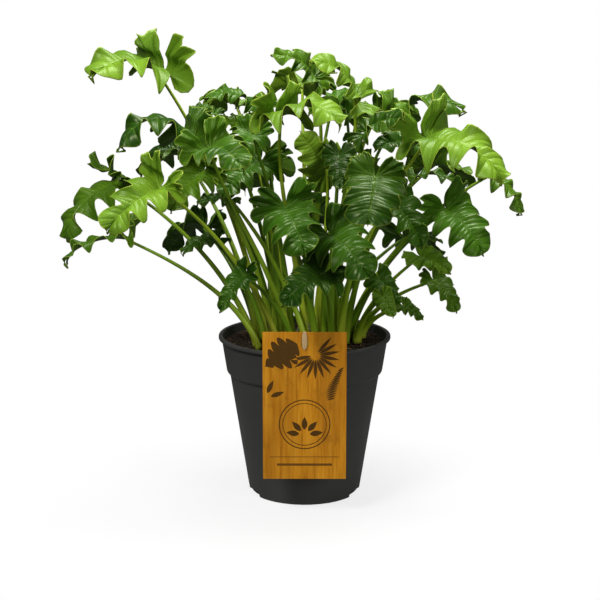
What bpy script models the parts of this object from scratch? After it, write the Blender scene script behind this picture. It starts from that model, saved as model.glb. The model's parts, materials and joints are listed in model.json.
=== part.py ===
"""Potted philodendron: a nursery pot, its soil, a hanging card with its hook, a stem and leaves.

Metres, +Z up. The origin is the centre of the pot's foot, on the surface that it stands on, and
the card hangs on the pot's -Y side. Each leaf is one solid, blade and stalk together, as it grew.
"""

import math
from collections import namedtuple

import bmesh
import bpy
from mathutils import Vector
from mathutils.bvhtree import BVHTree
from mathutils.geometry import interpolate_bezier

MM = 0.001
CLEARANCE = 0.3 * MM  # between pieces that touch

# Pot
POT_HEIGHT = 141 * MM
POT_TOP_RADIUS = 75 * MM  # over the lip
POT_FOOT_RADIUS = 48.5 * MM
POT_WALL = 1.4 * MM
POT_FLOOR = 2 * MM
LIP_WIDTH = 2.1 * MM
LIP_HEIGHT = 3 * MM
LIP_CHAMFER = 0.8 * MM
SMALL_CHAMFER = 0.4 * MM
COLLAR_HEIGHT = 32 * MM
COLLAR_STEP = 2.5 * MM
FOOT_BEVEL = 3 * MM
TURNED_SIDES = 40
NOTCH_ANGLES = (90, -20, -160)  # degrees from +X, about the pot's axis
NOTCH_WIDTH = 28 * MM
NOTCH_HEIGHT = 5.2 * MM
NOTCH_REACH = 9 * MM  # inwards from the foot's edge

# Soil and stem
SOIL_DROP = 6.5 * MM  # from the lip's top down to the soil
SOIL_CROWN = 0.94  # share of the soil's radius that is flat
SOIL_FALL = 2 * MM  # from there down to its edge
STEM_RADIUS = 8 * MM
STEM_HEIGHT = 16 * MM

# Card and the hook that holds it
CARD_WIDTH = 69.5 * MM
CARD_HEIGHT = 126.5 * MM
CARD_THICKNESS = 0.8 * MM
CARD_RISE = 19 * MM  # how far the card stands above the lip
SLOT_HEIGHT = 6 * MM
SLOT_DROP = 6 * MM  # from the card's top edge down to the slot
HOOK_WIDTH = 4.6 * MM
HOOK_THICKNESS = 1.2 * MM
HOOK_FACE = 16 * MM  # height of the hook's front face
HOOK_RISE = 1 * MM  # of the front face above the card's top edge
HOOK_REACH = 7 * MM  # below the lip's top, inside the pot

# Leaves
LEAF_SCALE = 1.0  # of every blade, about the end of its stalk
BLADE_THICKNESS = 1.0 * MM
BLADE_ROWS = 3
STALK_TOP_RADIUS = 1.3 * MM
STALK_FOOT_RADIUS = 3.2 * MM
STALK_POINTS = 6
STALK_TWIST = 25  # degrees that a stalk's foot is turned from its blade about the pot's axis
STALK_RING = (15 * MM, 56 * MM)  # the circles between which the stalks come out of the soil
ROOT_DEPTH = 40 * MM  # below the soil, where the stalks' directions meet
LEAF_CLEARANCE = 1.0 * MM
STALK_SIDES = 6  # of a stalk's stand-in
TRIAL_SHARES = (0.35, 0.7, 1.03)  # of the way out, where a leaf's stand-in has its rows
NUDGE = 6  # mm, a step of the search for a leaf's free place
TURN = 12  # degrees, a step of the search for its stalk's free foot

# Half a blade's margin, from its tip round to the notch at its stalk: degrees and share of length
HALF_MARGIN = (
    (0, 1.00), (9, 0.70), (17, 0.80), (29, 0.68), (40, 0.44), (58, 0.52), (77, 0.42), (97, 0.50),
    (121, 0.53), (148, 0.49), (169, 0.24),
)
FOLD = 20  # degrees that each half rises from the midrib
HALF_WIDTH = 0.45  # share of the length over which a half's curl is spread
LIFT_REACH = 0.2  # share of the length, behind the stalk's end, over which the lobes stand up
LIFT_CURL = 0.25  # share of the curl that is left there

# A leaf's stalk end and tip in mm, on the pot's axes but with heights from the lip's top. Its upper
# side looks `face` degrees from straight up, towards -Y. `arch` is how far the midrib turns, and
# `lift` how far the lobes at the stalk stand up. `turn` is how many degrees more than most its
# stalk's foot is turned about the pot's axis, and `curl` how far a half bends from midrib to side.
Leaf = namedtuple("Leaf", "name end tip face arch lift width turn curl", defaults=(0, 60))
LEAVES = (
    Leaf("top_left", (-127, 30, 224), (-178, -28, 222), 15, 80, 105, 0.85, 0, 80),
    Leaf("top_middle", (8, 10, 222), (-29, -5, 241), 45, 90, 60, 0.80),
    Leaf("top_crest", (41, -20, 208), (3, -45, 238), 30, 80, 60, 0.85, 0, 80),
    Leaf("upper_fan", (-19, -45, 193), (31, -90, 190), 15, 85, 125, 0.90, 0, 80),
    Leaf("upper_blue", (36, 10, 188), (2, -20, 194), 30, 85, 90, 0.80, 0, 80),
    Leaf("right_arch", (79, 30, 182), (137, 10, 190), 15, 118, 105, 0.70, 0, 90),
    Leaf("right_bright", (103, -40, 174), (162, -80, 142), 22, 75, 85, 0.95, 0, 84),
    Leaf("front_heart", (56, -98, 150), (49, -126, 115), 60, 50, 35, 1.12, 0, 40),
    Leaf("right_far", (160, 20, 136), (187, 10, 102), 10, 75, 80, 0.75, 0, 80),
    Leaf("right_low", (122, -10, 111), (152, -32, 74), 45, 60, 70, 1.20, 0, 60),
    Leaf("left_front", (-117, -80, 139), (-158, -112, 107), 50, 60, 90, 0.85, 0, 60),
    Leaf("left_upper", (-99, -30, 175), (-151, -62, 165), 12, 140, 100, 0.80, 0, 100),
    Leaf("left_far", (-161, 0, 132), (-205, -22, 84), 12, 75, 110, 0.80, 0, 95),
    Leaf("left_edge", (-149, -40, 90), (-203, -52, 72), 5, 60, 60, 0.50, 0, 50),
    Leaf("middle_left", (-76, -78, 170), (-46, -124, 158), 40, 75, 70, 0.85, 0, 60),
    Leaf("left_inner", (-85, -32, 146), (-111, -60, 115), 45, 60, 80, 0.95, 48, 60),
    Leaf("dark_arch", (-44, 20, 193), (-86, 10, 200), 15, 120, 70, 0.85, 0, 90),
    Leaf("young_upright", (18, -52, 151), (-4, -72, 184), 85, 35, 10, 1.05, -24),
    Leaf("small_dark", (28, -74, 164), (28, -92, 138), 70, 40, 20, 0.90),
    Leaf("front_middle", (-14, -90, 124), (1, -122, 90), 55, 60, 65, 1.25),
    Leaf("front_low", (21, -76, 100), (53, -112, 69), 50, 65, 65, 1.05, -12),
    Leaf("right_small", (52, -48, 181), (80, -78, 194), 45, 60, 40, 0.90, -12),
    Leaf("right_hanging", (73, -62, 124), (96, -82, 89), 35, 60, 40, 0.90),
    Leaf("right_thin_arch", (99, 40, 132), (137, 30, 120), 10, 90, 40, 0.70),
    Leaf("right_shaded", (90, -10, 166), (57, -44, 165), 40, 60, 40, 0.80, 12),
    Leaf("left_behind", (-94, 54, 152), (-143, 64, 150), 25, 50, 40, 0.80),
    Leaf("middle_dark", (-40, -6, 150), (-70, -38, 123), 40, 60, 40, 0.90),
    Leaf("middle_shaded", (-44, -42, 177), (-60, -76, 158), 50, 60, 60, 0.90, 0),
    Leaf("upper_shaded", (-50, 30, 178), (-79, 8, 178), 40, 70, 40, 0.80, -12),
    Leaf("low_middle", (13, -86, 69), (-19, -114, 48), 45, 60, 40, 0.90),
    Leaf("low_right", (64, -16, 52), (80, -30, 30), 50, 50, 40, 0.90, 0),
    Leaf("low_left", (-50, -70, 65), (-70, -82, 36), 40, 55, 60, 0.65),
    Leaf("olive", (99, -20, 72), (124, -38, 61), 40, 50, 40, 0.90, -12),
    Leaf("low_far_right", (112, -10, 49), (130, -28, 24), 30, 70, 60, 0.80),
    Leaf("thin_left", (-67, -4, 118), (-92, -20, 117), 25, 50, 30, 0.70, -60),
    Leaf("thin_low_left", (-78, -6, 84), (-106, -20, 74), 25, 60, 30, 0.70),
    Leaf("curl", (-78, 30, 189), (-100, 22, 192), 30, 90, 40, 0.70, -48),
    Leaf("round_small", (66, -46, 42), (74, -60, 27), 50, 40, 20, 0.90),
    Leaf("lowest", (86, -20, 29), (101, -32, 19), 40, 40, 20, 0.80, 0),
    Leaf("upper_back", (23, 52, 188), (40, 80, 207), 0, 60, 40, 0.90),
    Leaf("back_left_high", (-62, 84, 192), (-92, 132, 178), -20, 80, 60, 1.00, -36),
    Leaf("back_high", (-2, 98, 207), (6, 156, 190), -20, 85, 60, 1.00, -36),
    Leaf("back_right_high", (66, 88, 184), (102, 130, 166), -20, 80, 60, 1.00, -12),
    Leaf("back_left", (-112, 96, 144), (-154, 126, 120), -15, 70, 60, 1.00),
    Leaf("back_right", (114, 68, 138), (152, 98, 114), -15, 70, 60, 1.00, 12),
    Leaf("back_middle_left", (-42, 112, 134), (-58, 160, 102), -30, 65, 60, 1.05),
    Leaf("back_middle_right", (48, 112, 124), (64, 158, 92), -30, 65, 60, 1.05),
    Leaf("back_low", (2, 92, 90), (4, 132, 58), -30, 60, 50, 0.95),
    Leaf("back_low_left", (-92, 70, 82), (-128, 96, 54), -20, 60, 60, 0.95, -12),
    Leaf("back_low_right", (92, 72, 74), (126, 100, 46), -20, 60, 60, 0.95),
)


def clear_scene():
    for thing in list(bpy.data.objects):
        bpy.data.objects.remove(thing, do_unlink=True)


def new_collection(name):
    collection = bpy.data.collections.new(name)
    bpy.context.scene.collection.children.link(collection)
    return collection


def material(name, colour, roughness, metallic=0.0):
    made = bpy.data.materials.new(name)
    made.use_nodes = True
    shader = made.node_tree.nodes["Principled BSDF"]
    shader.inputs["Base Color"].default_value = (*colour, 1)
    shader.inputs["Roughness"].default_value = roughness
    shader.inputs["Metallic"].default_value = metallic
    return made


def add(name, mesh, collection, finish=None):
    thing = bpy.data.objects.new(name, mesh)
    collection.objects.link(thing)
    if finish:
        mesh.materials.append(finish)
    return thing


def as_cutter(thing):
    thing.hide_render = True
    thing.display_type = "WIRE"
    return thing


def boolean(target, other, operation):
    step = target.modifiers.new(operation.lower(), "BOOLEAN")
    step.operation = operation
    step.solver = "EXACT"
    step.use_self = True
    step.object = other


def box(name, low, high, collection):
    shape = bmesh.new()
    bmesh.ops.create_cube(shape, size=1)
    for vertex in shape.verts:
        vertex.co = [a + (b - a) * (side + 0.5) for a, b, side in zip(low, high, vertex.co)]
    mesh = bpy.data.meshes.new(name)
    shape.to_mesh(mesh)
    shape.free()
    return add(name, mesh, collection)


def turned(name, profile, collection, finish):
    """A solid turned about Z from (radius, height) points, running down its outer side."""
    mesh = bpy.data.meshes.new(name)
    shape = bmesh.new()
    points = [shape.verts.new((radius, 0, height)) for radius, height in profile]
    for first, second in zip(points, points[1:]):
        shape.edges.new((first, second))
    shape.to_mesh(mesh)
    shape.free()
    thing = add(name, mesh, collection, finish)
    screw = thing.modifiers.new("turn", "SCREW")
    screw.axis = "Z"
    screw.steps = TURNED_SIDES
    screw.render_steps = TURNED_SIDES
    screw.use_merge_vertices = True
    screw.merge_threshold = 0.00001
    return thing


def extruded(name, outlines, thickness, collection):
    """A plate whose closed outlines lie in its local XY plane, with the later ones as holes."""
    curve = bpy.data.curves.new(name, "CURVE")
    curve.dimensions = "2D"
    curve.fill_mode = "BOTH"
    curve.extrude = thickness / 2
    for outline in outlines:
        spline = curve.splines.new("POLY")
        spline.points.add(len(outline) - 1)
        spline.use_cyclic_u = True
        for point, (x, y) in zip(spline.points, outline):
            point.co = (x, y, 0, 1)
    return add(name, curve, collection)


def as_mesh(thing, collection, finish=None):
    """The mesh that a curve object evaluates to, with its caps welded, in the curve's place."""
    bpy.context.view_layer.update()
    evaluated = thing.evaluated_get(bpy.context.evaluated_depsgraph_get())
    mesh = bpy.data.meshes.new_from_object(evaluated)
    shape = bmesh.new()
    shape.from_mesh(mesh)
    bmesh.ops.remove_doubles(shape, verts=shape.verts, dist=0.00001)
    bmesh.ops.recalc_face_normals(shape, faces=shape.faces)
    shape.to_mesh(mesh)
    shape.free()
    mesh.materials.clear()
    name, place = thing.name, thing.matrix_world.copy()
    bpy.data.objects.remove(thing, do_unlink=True)
    made = add(name, mesh, collection, finish)
    made.matrix_world = place
    return made


# ---- Pot, soil and stem

POT_TAPER = (POT_TOP_RADIUS - LIP_WIDTH - COLLAR_STEP - POT_FOOT_RADIUS) / POT_HEIGHT
COLLAR_FOOT = POT_HEIGHT - COLLAR_HEIGHT
SOIL_TOP = POT_HEIGHT - SOIL_DROP


def wall_radius(height):
    """The pot's outer radius, without its lip."""
    step = COLLAR_STEP if height > COLLAR_FOOT else 0
    return POT_FOOT_RADIUS + POT_TAPER * height + step


def pot_profile():
    """From the middle of the floor up the inside, over the lip and down to the foot."""
    just_over = COLLAR_FOOT + 0.001 * MM  # on the collar's side of the step
    inner_step = COLLAR_FOOT + POT_WALL
    return [
        (0, POT_FLOOR),
        (wall_radius(POT_FLOOR) - POT_WALL, POT_FLOOR),
        (wall_radius(COLLAR_FOOT) - POT_WALL, inner_step),
        (wall_radius(inner_step) - POT_WALL, inner_step),
        (wall_radius(POT_HEIGHT) - POT_WALL, POT_HEIGHT - SMALL_CHAMFER),
        (wall_radius(POT_HEIGHT) - POT_WALL + SMALL_CHAMFER, POT_HEIGHT),
        (POT_TOP_RADIUS - LIP_CHAMFER, POT_HEIGHT),
        (POT_TOP_RADIUS, POT_HEIGHT - LIP_CHAMFER),
        (POT_TOP_RADIUS, POT_HEIGHT - LIP_HEIGHT + SMALL_CHAMFER),
        (POT_TOP_RADIUS - SMALL_CHAMFER, POT_HEIGHT - LIP_HEIGHT),
        (wall_radius(POT_HEIGHT - LIP_HEIGHT), POT_HEIGHT - LIP_HEIGHT),
        (wall_radius(just_over), COLLAR_FOOT),
        (wall_radius(COLLAR_FOOT), COLLAR_FOOT - LIP_CHAMFER),
        (wall_radius(FOOT_BEVEL), FOOT_BEVEL),
        (POT_FOOT_RADIUS - 0.3 * FOOT_BEVEL, 0.2 * FOOT_BEVEL),
        (POT_FOOT_RADIUS - FOOT_BEVEL * 0.7, 0),
        (0, 0),
    ]


def build_pot(parts, cutters):
    finish = material("pot_plastic", (0.048, 0.050, 0.052), 0.5)
    pot = turned("pot", pot_profile(), parts, finish)
    for index, angle in enumerate(NOTCH_ANGLES):
        low = (POT_FOOT_RADIUS - NOTCH_REACH, -NOTCH_WIDTH / 2, -NOTCH_HEIGHT)
        high = (POT_TOP_RADIUS, NOTCH_WIDTH / 2, NOTCH_HEIGHT)
        notch = as_cutter(box(f"drain_notch_{index + 1}", low, high, cutters))
        notch.rotation_euler = (0, 0, math.radians(angle))
        boolean(pot, notch, "DIFFERENCE")


def build_soil(parts):
    finish = material("soil", (0.035, 0.022, 0.014), 1.0)
    gap = POT_WALL + CLEARANCE
    inner_step = COLLAR_FOOT + POT_WALL + CLEARANCE
    foot = POT_FLOOR + CLEARANCE
    crown_radius = (wall_radius(SOIL_TOP) - gap) * SOIL_CROWN
    turned("soil", [
        (0, SOIL_TOP),
        (crown_radius, SOIL_TOP),
        (wall_radius(SOIL_TOP) - gap, SOIL_TOP - SOIL_FALL),
        (wall_radius(inner_step) - gap, inner_step),
        (wall_radius(COLLAR_FOOT) - gap, inner_step),
        (wall_radius(foot) - gap, foot),
        (0, foot),
    ], parts, finish)


def build_stem(parts):
    finish = material("stem", (0.16, 0.15, 0.06), 0.8)
    foot = SOIL_TOP + CLEARANCE
    turned("stem", [
        (0, foot + STEM_HEIGHT),
        (STEM_RADIUS * 0.5, foot + STEM_HEIGHT * 0.95),
        (STEM_RADIUS * 0.8, foot + STEM_HEIGHT * 0.7),
        (STEM_RADIUS, foot),
        (0, foot),
    ], parts, finish)


# ---- Card and hook

CARD_BACK = -POT_TOP_RADIUS - CLEARANCE
CARD_FRONT = CARD_BACK - CARD_THICKNESS
CARD_TOP = POT_HEIGHT + CARD_RISE


def rectangle(width, low, high):
    return [(-width / 2, low), (width / 2, low), (width / 2, high), (-width / 2, high)]


def build_card(parts):
    finish = material("card_print", (0.52, 0.28, 0.06), 0.5)
    slot_top = CARD_TOP - SLOT_DROP
    plate = extruded("card", [
        rectangle(CARD_WIDTH, CARD_TOP - CARD_HEIGHT, CARD_TOP),
        rectangle(HOOK_WIDTH + 2 * CLEARANCE, slot_top - SLOT_HEIGHT, slot_top),
    ], CARD_THICKNESS, parts)
    plate.rotation_euler = (math.radians(90), 0, 0)
    plate.location = (0, (CARD_FRONT + CARD_BACK) / 2, 0)
    as_mesh(plate, parts, finish)


def build_hook(parts):
    """A bent strip: its face stands before the card, its neck in the slot, its leg in the pot."""
    finish = material("hook_plastic", (0.62, 0.42, 0.18), 0.45)
    neck_top = CARD_TOP - SLOT_DROP - CLEARANCE
    neck_foot = neck_top - HOOK_THICKNESS
    face_back = CARD_FRONT - CLEARANCE
    face_front = face_back - HOOK_THICKNESS
    face_high = CARD_TOP + HOOK_RISE
    face_low = face_high - HOOK_FACE
    leg_foot = POT_HEIGHT - HOOK_REACH
    flat_side = math.cos(math.pi / TURNED_SIDES)
    leg_front = -(wall_radius(leg_foot) - POT_WALL) * flat_side + CLEARANCE
    leg_back = leg_front + HOOK_THICKNESS
    hook = extruded("card_hook", [[
        (face_front, face_low + 1 * MM),
        (face_back, face_low),
        (face_back, neck_foot),
        (leg_front, neck_foot),
        (leg_front, leg_foot),
        (leg_back, leg_foot),
        (leg_back, neck_top),
        (face_back, neck_top),
        (face_back, face_high),
        (face_front, face_high - 1 * MM),
    ]], HOOK_WIDTH, parts)
    hook.rotation_euler = (math.radians(90), 0, math.radians(90))
    as_mesh(hook, parts, finish)


# ---- Leaves

def scaled(leaf, nudge):
    """The leaf's stalk end, moved by a nudge, and the way from there to its tip, in metres."""
    end = (Vector(leaf.end) + nudge) * MM + Vector((0, 0, POT_HEIGHT))
    chord = (Vector(leaf.tip) - Vector(leaf.end)) * MM * LEAF_SCALE
    return end, chord


def blade_point(leaf, end, chord, angle, share, off=0.0):
    """A point of the blade: degrees from the tip, share of the way out, and height off it."""
    along = chord.normalized()
    face = math.radians(leaf.face)
    up = Vector((0, -math.sin(face), math.cos(face)))
    up = (up - along * up.dot(along)).normalized()
    side = up.cross(along)
    arch = math.radians(leaf.arch)
    bend = chord.length / (2 * math.sin(arch / 2))  # the midrib's radius
    length = bend * arch
    reach = share * length * margin(abs(angle))
    ahead = reach * math.cos(math.radians(angle))
    aside = reach * math.sin(math.radians(abs(angle))) * leaf.width
    lifted = min(1, max(0, -ahead) / (LIFT_REACH * length))
    slope = arch / 2 - max(0, ahead) / bend - math.radians(leaf.lift) * lifted
    if ahead > 0:
        run = bend * (math.sin(arch / 2) - math.sin(slope))
        rise = bend * (math.cos(slope) - math.cos(arch / 2))
    else:
        run = ahead * math.cos(slope)
        rise = ahead * math.sin(slope)
    fold = math.radians(FOLD)
    curl = math.radians(leaf.curl) * (1 - (1 - LIFT_CURL) * lifted) / (HALF_WIDTH * length)
    leaning = fold - curl * aside
    height = (math.cos(leaning) - math.cos(fold)) / curl + off * math.cos(leaning)
    outward = (math.sin(fold) - math.sin(leaning)) / curl - off * math.sin(leaning)
    return (
        end
        + along * (run - height * math.sin(slope))
        + up * (rise + height * math.cos(slope))
        + side * math.copysign(outward, angle)
    )


def margin(angle):
    """The blade's reach at some degrees from its tip, as a share of its length."""
    for (first, near), (second, far) in zip(HALF_MARGIN, HALF_MARGIN[1:]):
        if angle <= second:
            return near + (far - near) * (angle - first) / (second - first)
    return HALF_MARGIN[-1][1]


def stalk_route(leaf, end, chord, turn):
    """The stalk's centre line, from just over the soil to the blade."""
    spread = math.hypot(end.x, end.y)
    drop = math.atan2(spread, end.z - SOIL_TOP + ROOT_DEPTH)
    inner, outer = STALK_RING
    ring = min(outer, inner + (outer - inner) * drop / math.radians(55))
    angle = math.atan2(end.y, end.x) + math.radians(STALK_TWIST + leaf.turn + turn)
    foot = Vector((ring * math.cos(angle), ring * math.sin(angle), SOIL_TOP + CLEARANCE))
    start = foot + Vector((0, 0, STALK_FOOT_RADIUS))
    span = (end - start).length
    rising = (Vector((0, 0, 1)) + (end - start).normalized() * 0.8).normalized()
    arriving = ((end - start).normalized() + chord.normalized() * 0.35).normalized()
    return [foot] + interpolate_bezier(
        start, start + rising * span * 0.35, end - arriving * span * 0.3, end, STALK_POINTS
    )


def stalk_radius(share):
    """A stalk swells towards its foot, where it is a sheath."""
    return STALK_TOP_RADIUS + (STALK_FOOT_RADIUS - STALK_TOP_RADIUS) * (1 - share) ** 1.5


def spokes():
    half = [angle for angle, _ in HALF_MARGIN]
    return [-angle for angle in reversed(half[1:])] + half


def trial_shape(leaf, end, chord, route):
    """A thickened stand-in for a leaf, as a tree of triangles that can be tested for touching."""
    points = []
    faces = []
    gap = BLADE_THICKNESS / 2 + LEAF_CLEARANCE
    angles = spokes()
    for off in (-gap, gap):
        start = len(points)
        points.append(blade_point(leaf, end, chord, 0, 0, off))
        for share in TRIAL_SHARES:
            points.extend(blade_point(leaf, end, chord, angle, share, off) for angle in angles)
        for index in range(len(angles) - 1):
            near = start + 1 + index
            faces.append((start, near, near + 1))
            for ring in range(len(TRIAL_SHARES) - 1):
                inner = near + ring * len(angles)
                outer = inner + len(angles)
                faces.append((inner, outer, outer + 1, inner + 1))
    start = len(points)
    for index, centre in enumerate(route):
        radius = stalk_radius(index / (len(route) - 1)) + LEAF_CLEARANCE * 0.6
        for side in range(STALK_SIDES):
            angle = 2 * math.pi * side / STALK_SIDES
            ring = Vector((math.cos(angle) * radius, math.sin(angle) * radius, 0))
            points.append(centre + ring)
    for index in range(len(route) - 1):
        for side in range(STALK_SIDES):
            near = start + index * STALK_SIDES + side
            beside = start + index * STALK_SIDES + (side + 1) % STALK_SIDES
            faces.append((near, beside, beside + STALK_SIDES, near + STALK_SIDES))
    return BVHTree.FromPolygons(points, faces)


def trial_box(thing):
    return BVHTree.FromObject(thing, bpy.context.evaluated_depsgraph_get())


def search_steps():
    """Moves of a leaf and turns of its stalk's foot, the smallest first: least along Y and in turn."""
    steps = [
        (2 * abs(x) + abs(y) + 2 * abs(z) + abs(turn), Vector((x, y, z)) * NUDGE, turn * TURN)
        for x in range(-3, 4) for y in range(-5, 6) for z in range(-3, 4) for turn in range(-4, 5)
    ]
    return sorted(steps, key=lambda step: step[0])


def arrange(obstacles):
    """Each leaf's place and stalk, nudged or turned where it would touch what is there."""
    placed = []
    taken = list(obstacles)
    steps = search_steps()
    for leaf in LEAVES:
        for _, nudge, turn in steps:
            end, chord = scaled(leaf, nudge)
            route = stalk_route(leaf, end, chord, turn)
            shape = trial_shape(leaf, end, chord, route)
            if not any(shape.overlap(other) for other in taken):
                break
        else:
            print("no free place for", leaf.name)
        taken.append(shape)
        placed.append((leaf, end, chord, route))
    return placed


def build_blade(leaf, end, chord, collection, finish):
    """A sheet whose rows run out from the stalk's end, thickened."""
    angles = spokes()
    shape = bmesh.new()
    bmesh.ops.create_grid(shape, x_segments=len(angles) - 1, y_segments=BLADE_ROWS, size=1)
    for vertex in shape.verts:
        spoke = round((vertex.co.x + 1) / 2 * (len(angles) - 1))
        share = (vertex.co.y + 1) / 2
        vertex.co = blade_point(leaf, end, chord, angles[spoke], share)
    bmesh.ops.remove_doubles(shape, verts=shape.verts, dist=0.00001)
    bmesh.ops.recalc_face_normals(shape, faces=shape.faces)
    mesh = bpy.data.meshes.new("leaf_" + leaf.name)
    shape.to_mesh(mesh)
    shape.free()
    thing = add(mesh.name, mesh, collection, finish)
    solid = thing.modifiers.new("thickness", "SOLIDIFY")
    solid.thickness = BLADE_THICKNESS
    solid.offset = 0
    return thing


def build_stalk(name, route, collection):
    curve = bpy.data.curves.new(name, "CURVE")
    curve.dimensions = "3D"
    curve.bevel_depth = STALK_TOP_RADIUS
    curve.bevel_resolution = 1
    curve.use_fill_caps = True
    spline = curve.splines.new("POLY")
    spline.points.add(len(route) - 1)
    for index, (point, place) in enumerate(zip(spline.points, route)):
        point.co = (*place, 1)
        point.radius = stalk_radius(index / (len(route) - 1)) / STALK_TOP_RADIUS
    return as_cutter(as_mesh(add(name, curve, collection), collection))


def build_leaves(parts, joined, obstacles):
    finish = material("leaf", (0.055, 0.16, 0.02), 0.35)
    for leaf, end, chord, route in arrange(obstacles):
        tip_side = (route[-1] - route[-2]).normalized()
        route = route[:-1] + [route[-1] + tip_side * BLADE_THICKNESS]
        blade = build_blade(leaf, end, chord, parts, finish)
        stalk = build_stalk("stalk_" + leaf.name, route, joined)
        boolean(blade, stalk, "UNION")


def main():
    clear_scene()
    parts = new_collection("potted_philodendron")
    cutters = new_collection("cutters")
    build_pot(parts, cutters)
    build_soil(parts)
    build_stem(parts)
    build_card(parts)
    build_hook(parts)
    bpy.context.view_layer.update()
    obstacles = [trial_box(parts.objects[name]) for name in ("pot", "stem", "card", "card_hook")]
    build_leaves(parts, cutters, obstacles)


main()
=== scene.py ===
"""The looks of a potted philodendron: lobed glossy leaves, crumbly soil, a nursery pot and a card.
"""

import json
import math
from collections import namedtuple

import bmesh
import bpy
import numpy as np
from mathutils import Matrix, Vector, noise
from mathutils.geometry import interpolate_bezier


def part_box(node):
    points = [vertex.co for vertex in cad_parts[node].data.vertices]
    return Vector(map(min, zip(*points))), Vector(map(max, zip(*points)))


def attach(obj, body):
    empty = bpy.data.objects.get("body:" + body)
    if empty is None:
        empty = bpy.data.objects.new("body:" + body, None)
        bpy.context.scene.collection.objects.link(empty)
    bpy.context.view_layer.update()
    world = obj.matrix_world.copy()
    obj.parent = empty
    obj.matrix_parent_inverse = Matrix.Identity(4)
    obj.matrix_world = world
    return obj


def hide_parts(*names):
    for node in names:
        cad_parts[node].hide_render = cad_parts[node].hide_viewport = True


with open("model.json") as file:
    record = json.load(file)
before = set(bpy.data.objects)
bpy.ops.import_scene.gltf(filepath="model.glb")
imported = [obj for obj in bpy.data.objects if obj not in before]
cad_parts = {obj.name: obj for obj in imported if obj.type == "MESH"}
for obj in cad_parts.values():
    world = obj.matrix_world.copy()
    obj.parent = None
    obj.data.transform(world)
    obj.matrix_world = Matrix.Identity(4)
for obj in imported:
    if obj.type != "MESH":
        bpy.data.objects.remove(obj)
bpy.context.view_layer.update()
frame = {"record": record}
SLOTS = {part["node"]: part["material_slot"] for part in frame["record"]["subparts"]}

MM = 0.001


def box_of(node):
    low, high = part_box(node)
    return Vector(low), Vector(high)


# ---- Sizes, as in the model where it has them

POT_HEIGHT = box_of("pot")[1].z
POT_TOP_RADIUS = box_of("pot")[1].x
POT_FOOT_RADIUS = 48.5 * MM
POT_WALL = 1.4 * MM
POT_FLOOR = 2 * MM
LIP_WIDTH = 2.1 * MM
LIP_HEIGHT = 3 * MM
COLLAR_HEIGHT = 32 * MM
COLLAR_STEP = 2.5 * MM
FOOT_BEVEL = 3 * MM
NOTCH_ANGLES = (90, -20, -160)
NOTCH_WIDTH = 28 * MM
NOTCH_HEIGHT = 5.2 * MM
NOTCH_REACH = 9 * MM  # inwards from the foot's edge
POT_TAPER = (POT_TOP_RADIUS - LIP_WIDTH - COLLAR_STEP - POT_FOOT_RADIUS) / POT_HEIGHT
COLLAR_FOOT = POT_HEIGHT - COLLAR_HEIGHT

SOIL_TOP = box_of("soil")[1].z
SOIL_RINGS = 34
CRUMBS = 760

CLEARANCE = 0.3 * MM
SLOT_DROP = 6 * MM  # from the card's top to its slot's
SLOT_HEIGHT = 6 * MM
CARD_COLUMNS = 37
CARD_ROWS = 65
HOOK_WIDTH = 4.6 * MM
HOOK_THICKNESS = 1.2 * MM
HOOK_FACE = 16 * MM

STALK_TOP_RADIUS = 1.3 * MM
STALK_FOOT_RADIUS = 3.2 * MM
STALK_TWIST = 25  # degrees that a stalk's foot is turned from its blade about the pot's axis
STALK_RING = (15 * MM, 56 * MM)  # the stalks' feet stand between these radii
ROOT_DEPTH = 40 * MM
STALK_SIDES = 14
STALK_STEPS = 28
FOLD = 20  # degrees that a half stands up from the midrib
HALF_WIDTH = 0.45  # of the blade's length, where `curl` is reached
BLADE_THICKNESS = 0.5 * MM
SMALL_BLADE = 42 * MM  # blades shorter than this are hardly lobed
COLUMNS_PER_LOBE = 12
BLADE_ROWS = 12

ROUND_STEPS = 144
STEM_STEPS = 48
MERGE_DISTANCE = 0.00001
POT_SHARP_ANGLE = 38
HOOK_SHARP_ANGLE = 40


# ---- Materials


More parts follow.
